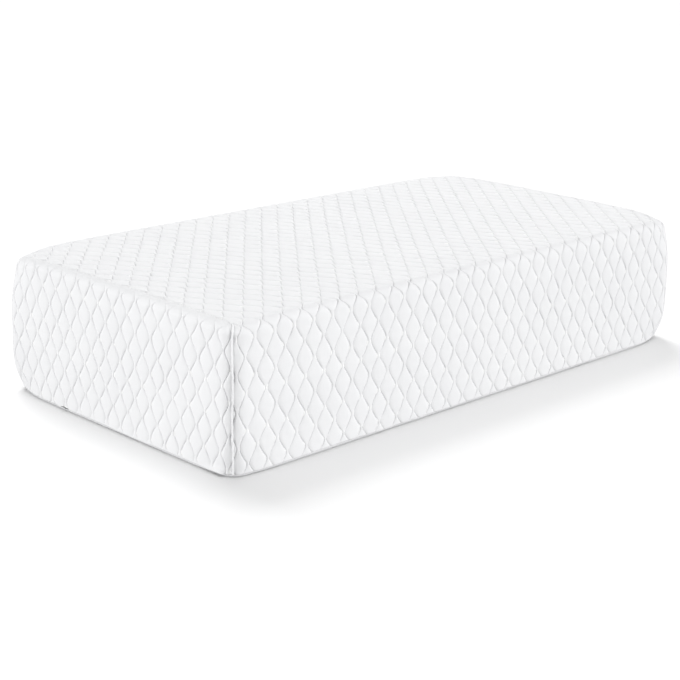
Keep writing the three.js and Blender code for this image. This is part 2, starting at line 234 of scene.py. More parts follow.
# ---------------------------------------------------------------- quilting
class Quilting:
    """The stitch lines of one panel: even and odd lines wave in turn, so they draw cells and necks.

    u runs across the lines and v along them. Where the panel lies flat on the top, the channels are
    shallower and the cells fuller.
    """

    lies_flat = True

    def __init__(self, pitch, start, phase, lean, fan, bow, rise, half):
        self.pitch, self.start, self.phase = pitch, start, phase
        self.lean, self.fan, self.half = lean, fan / half, half
        self.bow, self.rise = bow, rise

    def line(self, k, v):
        """Where stitch line k is at v, before it leans."""
        middle = self.start + self.pitch * k / 2
        turn = 2 * math.pi * self.phase(v + self.rise * (1 - (middle / self.half) ** 2))
        wave = WAVE * (np.cos(turn) + WAVE_SKEW * np.cos(2 * turn) + WAVE_PEAK * np.cos(3 * turn))
        return middle + self.pitch * np.where(k % 2 == 0, 1, -1) * wave

    def lean_over(self, u, v):
        """Where an upright line's u comes to lie once the lines lean and bow."""
        return u + self.bow * (u / self.half) ** 2 + (self.lean + self.fan * u) * self.depth(v)

    def stand_up(self, u, v):
        """Undoes lean_over, closely enough after three rounds."""
        depth = self.depth(v)
        upright = u
        for _ in range(3):
            bowed = self.bow * (upright / self.half) ** 2
            upright = (u - bowed - self.lean * depth) / (1 + self.fan * depth)
        return upright

    def depth(self, v):
        """How far below the ridge line v is."""
        return np.maximum(abs(v) - HALF_WIDTH, 0)

    def nearest(self, u, v):
        """(distance to the nearest stitch line, width between the lines either side)."""
        u = self.stand_up(u, v)
        guess = np.floor((u - self.start) / (self.pitch / 2))
        left = np.full_like(u, -np.inf)
        right = np.full_like(u, np.inf)
        for step in range(-2, 4):
            line = self.line(guess + step, v)
            left = np.where(line <= u + 1e-9, np.maximum(left, line), left)
            right = np.where(line > u + 1e-9, np.minimum(right, line), right)
        return np.minimum(u - left, right - u), right - left

    def relief(self, gap, wide, u, v):
        """Height of the quilted face over the tops of its cells, mostly negative."""
        # from 0 in a neck to 1 at a cell's widest
        full = np.clip((wide / self.pitch - 0.5 + 2 * WAVE) / (4 * WAVE), 0, 1)
        crease = np.clip(1 - gap / CHANNEL, 0, 1) ** 1.6
        lying = np.clip((HALF_WIDTH - abs(v)) / RIDGE_R, 0, 1) * self.lies_flat
        depth = CHANNEL_DEPTH * (1 + 0.15 * ripple(u, v, 150 * MM, seed=11)) * (1 - 0.5 * lying)
        dome = DOME * (1 + 0.4 * lying) * (0.25 + 0.75 * full)
        dome = dome * (1 + 0.3 * ripple(u, v, 110 * MM, seed=3))
        dome = dome * (1 - np.clip(2 * gap / wide, 0, 1)) ** 2
        neck = NECK_DROP * (1 - full) ** 1.5
        uneven = 0.4 * MM * ripple(u, v, 30 * MM, seed=7) * (1 - crease)
        return uneven - depth * crease - dome - neck


class EndQuilting(Quilting):
    lies_flat = False

    def depth(self, v):
        return np.maximum(v, 0)


def quilt_grid(quilting, rows, low, high, near, far):
    """A grid whose columns follow the stitch lines, cut off at low and high.

    low and high may change from row to row. near and far say where the columns stand in a channel's
    wall and in the rest of a strip's half. Returns the points' u and v, and the faces.
    """
    half = quilting.pitch / 2
    spare = 5  # lines past the edges, for the lean
    first = math.floor((low.min() - quilting.start) / half) - spare
    last = math.ceil((high.max() - quilting.start) / half) + spare
    k = np.arange(first, last + 1)
    lines = quilting.lean_over(quilting.line(k[None, :], rows[:, None]), rows[:, None])
    left, wide = lines[:, :-1], np.diff(lines, axis=1)
    wall = np.minimum(CHANNEL, 0.4 * wide)  # of a channel, less in a narrow neck
    columns = [left + wall * f for f in near]
    columns += [left + wall + (wide / 2 - wall) * f for f in far]
    columns += [left + wide - wall - (wide / 2 - wall) * f for f in reversed(far[:-1])]
    columns += [left + wide - wall * f for f in reversed(near[1:])]
    u = np.stack(columns, axis=2).reshape(len(rows), -1)
    count = u.shape[1]
    low, high = low[:, None], high[:, None]
    begin = (u <= low).sum(1) - 1
    end = count - (u >= high).sum(1)
    column = np.clip(np.arange(count)[None, :], begin[:, None], end[:, None])
    index = np.arange(len(rows))[:, None] * count + column
    u = np.clip(u, low, high)
    v = np.repeat(rows[:, None], count, axis=1)
    corners = [index[:-1, :-1], index[:-1, 1:], index[1:, 1:], index[1:, :-1]]
    quads = np.stack(corners, axis=2).reshape(-1, 4)
    differ = (quads[:, 0] != quads[:, 1]) | (quads[:, 2] != quads[:, 3])
    used, quads = np.unique(quads[differ], return_inverse=True)
    faces = [tuple(dict.fromkeys(q)) for q in quads.reshape(-1, 4).tolist()]
    return u.ravel()[used], v.ravel()[used], faces


def steps(*stretches):
    """Row positions: each stretch is (from, to, step)."""
    found = [stretches[0][0]]
    for begin, end, step in stretches:
        count = max(1, round(abs(end - begin) / step))
        found += list(np.linspace(begin, end, count + 1)[1:])
    return np.array(found)


def side_rows(first, step):
    """Rows down a face, from `first` past the ridge line to the end of the hem's curl."""
    fine = min(step, RIDGE_STEP)
    hem = SIDE_DROP, FULL_DROP, HEM_ARC / 5
    return steps((first, RIDGE_R, fine), (RIDGE_R, SIDE_DROP, step), hem)


def wrap_rows(step):
    """Rows of the wrap from hem to hem."""
    fine = min(step, RIDGE_STEP)
    side = side_rows(0, step)
    flat = HALF_WIDTH - RIDGE_R
    top = steps((-HALF_WIDTH, -flat, fine), (-flat, flat, step), (flat, HALF_WIDTH, fine))
    return np.concatenate([-(HALF_WIDTH + side[:0:-1]), top, HALF_WIDTH + side[1:]])


def wrap_phase(s):
    """Rows are closer on the top than on the sides, with a smooth change round each ridge."""
    fine = np.linspace(-HALF_WIDTH - FULL_DROP, HALF_WIDTH + FULL_DROP, 4001)
    blend = 0.5 * (1 + np.tanh((abs(fine) - HALF_WIDTH) / (18 * MM)))
    rate = (1 - blend) / TOP_ROW + blend / SIDE_ROW
    total = np.concatenate([[0], np.cumsum((rate[1:] + rate[:-1]) / 2 * np.diff(fine))])
    total -= np.interp(-HALF_WIDTH, fine, total) + RIDGE_PHASE
    return np.interp(s, fine, total)


def seam_line(s):
    """How far from the end of the mattress the wrap stops: none on the sides, more on the top."""
    return np.clip(HALF_WIDTH - abs(s), 0, SEAM_INSET)


def pucker(along, off, on_top, seed):
    """The cloth dips into a seam, with slanting gathers beside it; less so along the ridge."""
    strength = GATHER * (1 - 0.7 * on_top) * np.exp(-off / (14 * MM))
    strength = strength * np.clip(off / (4 * MM), 0.3, 1)
    gathers = 0
    for slant in (-1, 1):
        path = along + slant * GATHER_SLANT * off
        stray = 2.5 * ripple(path, off * 0, 140 * MM, seed + slant)
        beat = np.sin(2 * math.pi * path / GATHER_PITCH + stray)
        gathers = gathers - np.clip(beat - 0.1, 0, 1) ** 2 * strength
    tuck = SEAM_TUCK * (1 + 0.5 * ripple(along, off * 0, 130 * MM, seed + 5))
    return gathers - (tuck + (RIDGE_TUCK - tuck) * on_top) * np.exp(-off / SEAM_REACH)


ENDS = (("head", -1), ("foot", 1))
# Where columns of points stand: shares of a channel's wall, and of the rest of the half strip
NEAR_FINE, FAR_FINE = (0, 0.22, 0.5, 1), (0.45, 1)
NEAR_COARSE, FAR_COARSE = (0, 0.5, 1), (1,)


def hem_calm(from_edge):
    """The relief dies away where the hem curls in."""
    return np.clip(from_edge / HEM_ARC, 0, 1) ** 0.7


def seam_calm(off):
    """The relief dies away into a seam."""
    return 1 - 0.8 * np.exp(-off / (3 * MM))


def laid_out(quilting, u, v, gap, relief, form, faces):
    """A quilted panel: its cloth while flat, its relief, and the form it lies on."""
    relief = relief * hem_calm(FULL_DROP - quilting.depth(v))
    place, normal = form(u, v)
    cloth = {"flat": np.stack([u, v], axis=1), "gap": gap, "relief": relief}
    return {**cloth, "place": place, "normal": normal, "faces": faces}


def quilted_wrap(step, near, far, edge=SEAM_GAP):
    """The wrap, cut off `edge` short of the seams."""
    quilting = Quilting(
        WRAP_PITCH, WRAP_START, wrap_phase, LEAN, FAN, BOW, rise=0, half=HALF_LENGTH
    )
    rows = wrap_rows(step)
    limit = HALF_LENGTH - edge - seam_line(rows)
    u, v, faces = quilt_grid(quilting, rows, -limit, limit, near, far)
    gap, wide = quilting.nearest(u, v)
    off = np.maximum(HALF_LENGTH - abs(u) - seam_line(v), 0)
    from_corner = np.hypot(HALF_LENGTH - abs(u), HALF_WIDTH - abs(v))
    off = np.where(abs(v) > HALF_WIDTH, off, np.minimum(off, from_corner))
    on_top = np.clip((HALF_WIDTH - abs(v)) / SEAM_INSET, 0, 1)
    relief = quilting.relief(gap, wide, u, v) * seam_calm(off) + pucker(v, off, on_top, seed=21)
    return laid_out(quilting, u, v, gap, relief, wrap_form, faces)


def quilted_end(sign, step, near, far, edge=SEAM_GAP):
    """The panel of the head end (sign -1) or the foot end (1), cut off `edge` short of the seam."""

    def phase(v):
        return (v - END_FIRST_ROW) / END_ROW

    quilting = EndQuilting(
        END_PITCH, END_START, phase, END_LEAN, END_FAN, bow=0, rise=END_RISE, half=HALF_WIDTH
    )
    rows = side_rows(edge - SEAM_INSET, step)
    limit = np.full(len(rows), HALF_WIDTH - edge)
    u, v, faces = quilt_grid(quilting, rows, -limit, limit, near, far)
    if sign > 0:
        faces = [f[::-1] for f in faces]
    gap, wide = quilting.nearest(u, v)
    off = np.minimum(HALF_WIDTH - abs(u), v + SEAM_INSET)
    over_ridge = np.clip((v + 10 * MM) / (24 * MM), 0.15, 1)
    apart = 5  # metres, so the two ends are uneven in their own way
    relief = quilting.relief(gap, wide, u + apart * sign, v) * seam_calm(off) * over_ridge
    on_top = np.clip((HALF_WIDTH - abs(u)) / SEAM_INSET, 0, 1) * np.clip(1 - v / RIDGE_R, 0, 1)
    relief = relief + pucker(np.where(v > 0, v, u), off, on_top, seed=31)
    return laid_out(quilting, u, v, gap, relief, end_form(sign), faces)


# ---------------------------------------------------------------- mesh helpers
def put_uv(mesh, name, uv):
    """A UV layer from one place for each vertex."""
    layer = mesh.uv_layers.new(name=name)
    vertex = np.zeros(len(mesh.loops), np.int32)
    mesh.loops.foreach_get("vertex_index", vertex)
    layer.data.foreach_set("uv", uv[vertex].astype(np.float32).ravel())


def put_value(mesh, name, values):
    attribute = mesh.attributes.new(name, "FLOAT", "POINT")
    attribute.data.foreach_set("value", np.asarray(values, np.float32))


def finish_piece(name, mesh, replaces, body="mattress"):
    """Turns a mesh into a smooth piece that rides on a body."""
    mesh.polygons.foreach_set("use_smooth", np.ones(len(mesh.polygons), bool))
    piece = bpy.data.objects.new(name, mesh)
    bpy.context.scene.collection.objects.link(piece)
    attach(piece, body)
    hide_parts(*replaces)
    return piece


def make_piece(name, points, faces, look, replaces):
    mesh = bpy.data.meshes.new(name)
    mesh.from_pydata(np.asarray(points).tolist(), [], faces)
    mesh.update()
    mesh.materials.append(MATERIALS[look])
    return finish_piece(name, mesh, replaces)


def unit_square(uv):
    """The same layout, fitted into the square from 0.01 to 0.99."""
    low, high = uv.min(0), uv.max(0)
    return (uv - low) / (high - low) * 0.98 + 0.01


def wavy_hem(points):
    """The lower edge isn't quite straight, and it lifts over the parked zip slider."""
    x, y, z = points.T
    above = np.maximum(z - HEM_Z, 0)
    rise = HEM_SWAY * ripple(x, y, 260 * MM, seed=51) * np.exp(-above / (30 * MM))
    low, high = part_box("zip_slider")
    parked = (low.y + high.y) / 2
    lift = np.exp(-(((y - parked) / (13 * MM)) ** 2)) * (x < -HALF_LENGTH / 2)
    rise += SLIDER_LIFT * lift * np.exp(-above / (22 * MM))
    return points + np.stack([0 * x, 0 * x, rise], axis=1)


def clear_of_slider(points):
    """Along the path of the slider and its tab the head end's hem lies outside the slider's face.

    Above and beside the path the cloth comes back in, on a slope.
    """
    x, y, z = points.T
    low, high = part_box("zip_slider")
    tab_low, tab_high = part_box("zip_pull_tab")
    travel = frame["record"]["behaviour"]["joints"][0]["range_m"][1]
    path = low.y - travel - (tab_high.y - tab_low.y), tab_high.y
    above = np.maximum(z - high.z - 1 * MM, 0)
    beside = np.maximum(np.maximum(y - path[1], path[0] - y), 0)
    deepest = low.x - 0.4 * MM + 0.8 * above + 0.5 * beside
    straight = abs(y) < HALF_WIDTH - CORNER_R
    return np.stack([np.where(straight, np.minimum(x, deepest), x), y, z], axis=1)


def knit_piece(name, quilt, node):
    """One quilted knit panel, as an open cloth."""
    points = quilt["place"] + quilt["normal"] * quilt["relief"][:, None]
    points = wavy_hem(settle(points))
    if node == "head_panel_knit":
        points = clear_of_slider(points)
    piece = make_piece(name, points, quilt["faces"], "knit", [node])
    put_uv(piece.data, "UVMap", quilt["flat"])
    put_uv(piece.data, "OFBake", unit_square(quilt["flat"]))
    put_value(piece.data, "stitch_gap", quilt["gap"])
    return piece


def shell_faces(faces, count):
    """A closed shell from one layer's faces: the layer, the same layer turned over, and a rim."""
    inner = [tuple(i + count for i in reversed(f)) for f in faces]
    edges = {}
    for f in faces:
        for a, b in zip(f, f[1:] + f[:1]):
            edges[(a, b)] = edges.get((a, b), 0) + 1
    rim = [(b, a, a + count, b + count) for (a, b) in edges if (b, a) not in edges]
    return faces + inner + rim


def fill_piece(name, quilt, node, outer_inset, inner_inset):
    """The loose fibre fill: pillowed like the knit over it, flat against the backing."""
    outer = quilt["place"] + quilt["normal"] * (quilt["relief"] - outer_inset)[:, None]
    inner = quilt["place"] - quilt["normal"] * inner_inset
    points = settle(np.concatenate([outer, inner]))
    faces = shell_faces(quilt["faces"], len(outer))
    piece = make_piece(name, points, faces, "fill", [node])
    put_uv(piece.data, "OFBake", unit_square(np.concatenate([quilt["flat"], quilt["flat"]])))
    return piece


# ---------------------------------------------------------------- materials
# A wave texture of scale 1 / width / WAVE_UNIT has bands about `width` wide, and gaps as wide.
WAVE_UNIT = 6.28
# Sockets of a colour mix
FIRST_COLOR, SECOND_COLOR, MIXED_COLOR = 6, 7, 2


class Look:
    """A new material, with short ways to add nodes to it."""

    def __init__(self, name, color, roughness, metallic=0.0, sheen=0.0):
        self.material = bpy.data.materials.new(name)
        self.material.use_nodes = True
        self.tree = self.material.node_tree
        self.shader = self.tree.nodes["Principled BSDF"]
        self.shader.inputs["Base Color"].default_value = (*color, 1)
        self.shader.inputs["Roughness"].default_value = roughness
        self.shader.inputs["Metallic"].default_value = metallic
        self.shader.inputs["Sheen Weight"].default_value = sheen
        self.place = self.add("ShaderNodeTexCoord").outputs["Object"]

    def add(self, kind, values=None, **settings):
        node = self.tree.nodes.new(kind)
        for key, value in settings.items():
            setattr(node, key, value)
        for key, value in (values or {}).items():
            if isinstance(value, bpy.types.NodeSocket):
                self.tree.links.new(value, node.inputs[key])
            else:
                node.inputs[key].default_value = value
        return node

    def math(self, operation, a, b=0.0):
        return self.add("ShaderNodeMath", {0: a, 1: b}, operation=operation).outputs[0]

    def noise(self, scale, detail):
        values = {"Vector": self.place, "Scale": scale, "Detail": detail}
        return self.add("ShaderNodeTexNoise", values).outputs[0]

    def wave(self, vector, width, direction, distortion):
        """Bands across one direction, X, Y or Z."""
        values = {"Vector": vector, "Scale": 1 / width / WAVE_UNIT}
        values.update({"Distortion": distortion, "Detail": 1.0})
        return self.add("ShaderNodeTexWave", values, bands_direction=direction).outputs["Fac"]

    def between(self, factor, low, high, to_low=0.0, to_high=1.0):
        """Goes from to_low to to_high as factor goes from low to high."""
        values = {"Value": factor, "From Min": low, "From Max": high}
        values.update({"To Min": to_low, "To Max": to_high})
        return self.add("ShaderNodeMapRange", values).outputs[0]

    def tint(self, factor, low, high, dark, light):
        """Base colour from dark to light as factor goes from low to high."""
        values = {0: self.between(factor, low, high)}
        values.update({FIRST_COLOR: (*dark, 1), SECOND_COLOR: (*light, 1)})
        mix = self.add("ShaderNodeMix", values, data_type="RGBA")
        self.tree.links.new(mix.outputs[MIXED_COLOR], self.shader.inputs["Base Color"])

    def bump(self, height, distance, strength):
        """One more layer of bump, over what is there already."""
        values = {"Height": height, "Distance": distance, "Strength": strength}
        socket = self.shader.inputs["Normal"]
        if socket.is_linked:
            values["Normal"] = socket.links[0].from_socket
        self.tree.links.new(self.add("ShaderNodeBump", values).outputs[0], socket)


def knit_material():
    """White double-knit: fine ribs and courses, a soft sheen, thread in each channel."""
    look = Look("quilted_knit_cloth", (0.8, 0.803, 0.815), 0.82, sheen=0.12)
    flat = look.add("ShaderNodeUVMap", uv_map="UVMap").outputs[0]
    ribs = look.wave(flat, 1.5 * MM, "X", 0.4)
    courses = look.wave(flat, 1.2 * MM, "Y", 0.4)
    look.tint(look.noise(5.0, 3.0), 0.3, 0.7, (0.73, 0.733, 0.744), (0.75, 0.753, 0.762))
    look.bump(look.noise(90.0, 2.0), 1.2 * MM, 0.25)
    look.bump(look.noise(240.0, 3.0), 0.5 * MM, 0.4)
    look.bump(look.math("MULTIPLY", ribs, courses), 0.35 * MM, 0.5)
    gap = look.add("ShaderNodeAttribute", attribute_name="stitch_gap").outputs["Fac"]
    along = look.add("ShaderNodeSeparateXYZ", {0: flat}).outputs[1]
    stitch_length = 4.2 * MM
    dash = look.math("SINE", look.math("MULTIPLY", along, 2 * math.pi / stitch_length))
    on_line = look.math("LESS_THAN", gap, 0.5 * MM)
    thread = look.math("MULTIPLY", on_line, look.math("GREATER_THAN", dash, -0.35))
    look.bump(thread, 0.5 * MM, 0.8)
    return look.material


def fibre_material():
    """Loose polyester fibre: fluffy, very pale."""
    look = Look("quilt_fibre_fill", (0.88, 0.88, 0.87), 1.0, sheen=0.3)
    tufts = look.noise(22.0, 4.0)
    look.tint(tufts, 0.3, 0.7, (0.82, 0.82, 0.81), (0.92, 0.92, 0.91))
    look.bump(tufts, 3 * MM, 0.6)
    look.bump(look.noise(160.0, 6.0), 1 * MM, 0.7)
    return look.material


def cloth_material(name, dark, light, thread, strength=0.5):
    """A plain woven or knitted cloth: threads about `thread` wide, and gaps as wide."""
    look = Look(name, light, 0.9, sheen=0.1)
    bands = [look.wave(look.place, thread, direction, 0.6) for direction in "XYZ"]
    weave = look.math("ADD", look.math("MULTIPLY", bands[0], bands[1]), bands[2])
    look.tint(look.noise(9.0, 4.0), 0.3, 0.7, dark, light)
    look.bump(look.noise(300.0, 2.0), 0.4 * MM, 0.3)
    look.bump(weave, 0.3 * MM, strength)
    return look.material


def foam_material(name, dark, light, pore):
    """Open-cell foam: fine pores and a slightly mottled colour."""
    look = Look(name, light, 0.95)
    cells = look.add("ShaderNodeTexVoronoi", {"Vector": look.place, "Scale": 1 / pore})
    look.tint(look.noise(30.0, 5.0), 0.3, 0.7, dark, light)
    look.bump(cells.outputs["Distance"], 0.6 * MM, 0.6)
    look.bump(look.noise(12.0, 3.0), 2 * MM, 0.3)
    return look.material


def metal_material():
    """Dark nickel plate with fine wear."""
    look = Look("zip_nickel", (0.2, 0.2, 0.21), 0.38, metallic=1.0)
    wear = look.noise(900.0, 4.0)
    look.tint(wear, 0.35, 0.65, (0.12, 0.12, 0.125), (0.25, 0.25, 0.26))
    rough = look.between(wear, 0.3, 0.7, 0.3, 0.5)
    look.tree.links.new(rough, look.shader.inputs["Roughness"])
    look.bump(wear, 0.05 * MM, 0.4)
    return look.material


def coil_material():
    look = Look("zip_nylon_coil", (0.68, 0.68, 0.68), 0.42)
    look.tint(look.noise(60.0, 2.0), 0.3, 0.7, (0.64, 0.64, 0.645), (0.71, 0.71, 0.715))
    look.bump(look.noise(2500.0, 2.0), 0.05 * MM, 0.4)
    return look.material


def floor_material():
    look = Look("studio_floor", (0.95, 0.95, 0.95), 0.6)
    look.tint(look.noise(2.0, 2.0), 0.3, 0.7, (0.962, 0.962, 0.962), (0.968, 0.968, 0.968))
    return look.material


MATERIALS = {
    "knit": knit_material(),
    "fill": fibre_material(),
    "backing": cloth_material("quilt_backing_web", (0.7, 0.7, 0.69), (0.76, 0.76, 0.75), 0.8 * MM),
    "seam": cloth_material(
        "seam_overlock", (0.76, 0.762, 0.77), (0.82, 0.822, 0.83), 1.3 * MM, strength=0.9
    ),
    "base": cloth_material(
        "base_nonslip_cloth", (0.7, 0.705, 0.715), (0.76, 0.765, 0.775), 0.9 * MM
    ),
    "sock": cloth_material(
        "barrier_sock_knit", (0.78, 0.76, 0.71), (0.85, 0.83, 0.78), 1.4 * MM, strength=0.8
    ),
    "memory": foam_material("memory_foam_cells", (0.84, 0.78, 0.6), (0.89, 0.84, 0.68), 0.9 * MM),
    "transition": foam_material(
        "transition_foam_cells", (0.6, 0.7, 0.8), (0.67, 0.76, 0.85), 1.2 * MM
    ),
    "support": foam_material(
        "support_foam_cells", (0.82, 0.79, 0.7), (0.87, 0.84, 0.76), 1.5 * MM
    ),
    "tape": cloth_material(
        "zip_tape_weave", (0.78, 0.78, 0.79), (0.84, 0.84, 0.85), 0.7 * MM, strength=0.7
    ),
    "coil": coil_material(),
    "metal": metal_material(),
}


# ---------------------------------------------------------------- cover
def cover_pieces():
    """The three quilted knit panels and the fill behind them."""
    row_step = 6.5 * MM
    fill_step = 20 * MM
    fill_edge = 6 * MM  # how far the fill stops short of the seams
    outer = 1.2 * MM  # how far the fill's outer face lies behind the knit's
    inner = 9.1 * MM  # and its inner face behind the smooth form
    made = {}
    wrap = quilted_wrap(row_step, NEAR_FINE, FAR_FINE)
    made["wrap"] = knit_piece("quilted_wrap", wrap, "cover_wrap_knit")
    coarse = quilted_wrap(fill_step, NEAR_COARSE, FAR_COARSE, fill_edge)
    made["wrap_fill"] = fill_piece("quilted_wrap_fill", coarse, "cover_wrap_fill", outer, inner)
    for end, sign in ENDS:
        name = f"quilted_panel_{end}"
        panel = quilted_end(sign, row_step, NEAR_FINE, FAR_FINE)
        made[end] = knit_piece(name, panel, f"{end}_panel_knit")
        coarse = quilted_end(sign, fill_step, NEAR_COARSE, FAR_COARSE, fill_edge)
        fill = fill_piece(f"{name}_fill", coarse, f"{end}_panel_fill", outer, inner)
        made[f"{end}_fill"] = fill
    return made


def smoothed(lines, rounds):
    """Rounds off the turns of a line of points, whose two ends stay."""
    weight = np.array([0.25, 0.5, 0.25])
    for _ in range(rounds):
        for line in lines.T:
            line[1:-1] = np.convolve(line, weight, "valid")
    return lines


def seam_piece(end, sign):
    """The sewn ridge round an end: up one corner, along the ridge, down the other."""
    rows = wrap_rows(5 * MM)
    place, normal = wrap_form(sign * (HALF_LENGTH - 1e-6 - seam_line(rows)), rows)
    place, normal = smoothed(place, 6), smoothed(normal, 6)
    normal /= np.linalg.norm(normal, axis=1)[:, None]
    tangent = np.gradient(place, axis=0)
    tangent /= np.linalg.norm(tangent, axis=1)[:, None]
    across = np.cross(tangent, normal)
    along = np.concatenate([[0], np.cumsum(np.linalg.norm(np.diff(place, axis=0), axis=1))])
    on_top = np.clip((HALF_WIDTH - abs(rows)) / SEAM_INSET, 0, 1)
    sunk = 0.8 * MM * (1 - on_top) + 2.6 * MM * on_top
    sway = 1.0 * MM * ripple(along, along * 0, 160 * MM, seed=41)
    ring = 10  # points round the section
    tall, upper_width, lower_width = 2.6 * MM, 1.6 * MM, 2.4 * MM  # half sizes of the section
    points = []
    for i in range(ring):
        turn = 2 * math.pi * i / ring
        lump = 1 + 0.12 * np.sin(2 * math.pi * along / (23 * MM) + i)
        half_wide = upper_width if math.cos(turn) > 0 else lower_width
        out = tall * math.cos(turn) * lump - sunk
        side = half_wide * math.sin(turn) * lump
        points.append(place + normal * out[:, None] + across * (side + sway)[:, None])
    points = wavy_hem(settle(np.stack(points, axis=1).reshape(-1, 3)))
    # turned over, so they point inwards: a known fault
    faces = [face[:1] + face[:0:-1] for face in tube_faces(len(rows), ring)]
    make_piece(f"sewn_seam_{end}", points, faces, "seam", [f"{end}_seam"])


def tube_faces(rings, count):
    """Faces of a closed tube through `rings` rings of `count` points each."""
    faces = []
    for r in range(rings - 1):
        for i in range(count):
            j = (i + 1) % count
            a, b = r * count, (r + 1) * count
            faces.append((a + i, a + j, b + j, b + i))
    faces.append(tuple(reversed(range(count))))
    faces.append(tuple(range((rings - 1) * count, rings * count)))
    return faces


cover = cover_pieces()
for end, sign in ENDS:
    seam_piece(end, sign)


# ---------------------------------------------------------------- bands round the lower edge
def outline_rail(step):
    """Points round the footprint, clockwise from above: (place at the outer face, direction out).

    They start on the +Y side, where the corner towards +X begins.
    """
    places, outs = [], []
    corners = [(1, 1, 90), (1, -1, 0), (-1, -1, -90), (-1, 1, -180)]
    straight = {0: HALF_LENGTH, 1: HALF_WIDTH}
    arc_steps = 14
    for number, (sx, sy, begin) in enumerate(corners):
        cx, cy = sx * (HALF_LENGTH - CORNER_R), sy * (HALF_WIDTH - CORNER_R)
        for i in range(arc_steps + 1):
            turn = math.radians(begin - 90 * i / arc_steps)
            out = np.array([math.cos(turn), math.sin(turn)])
            places.append(np.array([cx, cy]) + CORNER_R * out)
            outs.append(out)
        run = 2 * (straight[(number + 1) % 2] - CORNER_R)
        heading = np.array([outs[-1][1], -outs[-1][0]])
        count = max(1, round(run / step))
        start, out = places[-1], outs[-1]
        for i in range(1, count):
            places.append(start + heading * run * i / count)
            outs.append(out)
    return np.array(places), np.array(outs)


def open_rail(step, y_from, y_to):
    """The same outline as an open line, from y_to on the head end, by way of +Y, to y_from.

    The stretch of the head end between y_from and y_to is left out.
    """
    places, outs = outline_rail(step)
    on_head = (outs[:, 0] < -0.999) & (abs(places[:, 1]) < HALF_WIDTH - CORNER_R)
    left_out = on_head & (places[:, 1] > y_from) & (places[:, 1] < y_to)
    # the outline runs clockwise, so along the head end y goes up
    first = np.flatnonzero(on_head & (places[:, 1] >= y_to))[0]
    order = np.roll(np.arange(len(places)), -first)
    order = order[~left_out[order]]
    begin, end = np.array([[-HALF_LENGTH, y_to]]), np.array([[-HALF_LENGTH, y_from]])
    out = np.array([[-1.0, 0.0]])
    places = np.concatenate([begin, places[order], end])
    outs = np.concatenate([out, outs[order], out])
    return places, outs


def sweep(rail, section):
    """A solid of one section, points (inset, height) in a loop, carried along an open rail."""
    places, outs = rail
    rings = []
    for inset, height in section:
        xy = places - outs * inset
        rings.append(np.column_stack([xy, np.full(len(xy), height)]))
    points = np.stack(rings, axis=1).reshape(-1, 3)
    return points, tube_faces(len(places), len(section))


def fix_normals(piece):
    """Turns every face outwards."""
    work = bmesh.new()
    work.from_mesh(piece.data)
    bmesh.ops.recalc_face_normals(work, faces=work.faces)
    work.to_mesh(piece.data)
    work.free()
    piece.data.update()


def zip_bands():
    """The two tapes: all the way round, with their ends under the cap."""
    low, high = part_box("zip_tape_upper")
    lower_low, lower_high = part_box("zip_tape_lower")
    inset = low.x - cad_low.x
    thick = 0.6 * MM
    start, end = 241 * MM, 254.3 * MM  # along the head end
    rail = open_rail(25 * MM, start, end)
    for side, z0, z1 in (("upper", low.z, high.z), ("lower", lower_low.z, lower_high.z)):
        section = [(inset, z0), (inset, z1), (inset + thick, z1), (inset + thick, z0)]
        points, faces = sweep(rail, section)
        name, node = f"zip_tape_{side}_band", f"zip_tape_{side}"
        piece = make_piece(name, settle(points), faces, "tape", [node])
        fix_normals(piece)
        piece.data.set_sharp_from_angle(angle=math.radians(50))


def coil_piece(name, node, y_start, y_end, flip):
    """Half a chain: one small rounded loop after another along the tape's edge."""
    low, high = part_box(node)
    pitch = 2.0 * MM
    places, outs = open_rail(6 * MM, y_start, y_end)
    along = np.concatenate([[0], np.cumsum(np.linalg.norm(np.diff(places, axis=0), axis=1))])
    count = int(along[-1] / pitch)
    at = (np.arange(count) + 0.5) * along[-1] / count
    centre = np.stack([np.interp(at, along, places[:, k]) for k in range(2)], axis=1)
    out = np.stack([np.interp(at, along, outs[:, k]) for k in range(2)], axis=1)
    out /= np.linalg.norm(out, axis=1)[:, None]
    run = np.stack([out[:, 1], -out[:, 0]], axis=1)
    face_inset = low.x - cad_low.x
    depth = 2.1 * MM
    half = 0.62 * MM  # of a loop's width
    toe = 0.55 * MM if flip else -0.55 * MM  # the loops of the two halves reach into each other
    z_out = low.z if flip else high.z
    z_in = (high.z if flip else low.z) + toe
    # (width and depth there, how far along the loop), in shares
    profile = [(0.25, 0.0), (0.85, 0.12), (1.0, 0.5), (0.85, 0.88), (0.25, 1.0)]
    front, back = 0.12, 0.9  # shares of the depth
    rings = []
    for width, share in profile:
        for side, deep in ((-1, front), (1, front), (1, back), (-1, back)):
            z = z_out + (z_in - z_out) * share
            inset = face_inset + depth * (deep + (1 - width) * 0.12)
            xy = centre - out * inset + run * (side * half * (0.4 + 0.6 * width))
            rings.append(np.column_stack([xy, np.full(count, z)]))
    points = np.stack(rings, axis=1).reshape(-1, 3)
    per = len(rings)
    one = tube_faces(len(profile), 4)
    faces = [tuple(i + n * per for i in f) for n in range(count) for f in one]
    piece = make_piece(name, settle(points), faces, "coil", [node])
    fix_normals(piece)
    rows = 40  # of the texture layout: the loops lie in rows, one above the other
    share = np.repeat(np.arange(count) / count, per)
    tall = (points[:, 2] - low.z + 1 * MM) / (high.z - low.z + 2 * MM)
    uv = np.stack([(share * rows) % 1, (np.floor(share * rows) + 0.1 + 0.8 * tall) / rows], axis=1)
    put_uv(piece.data, "OFBake", uv)


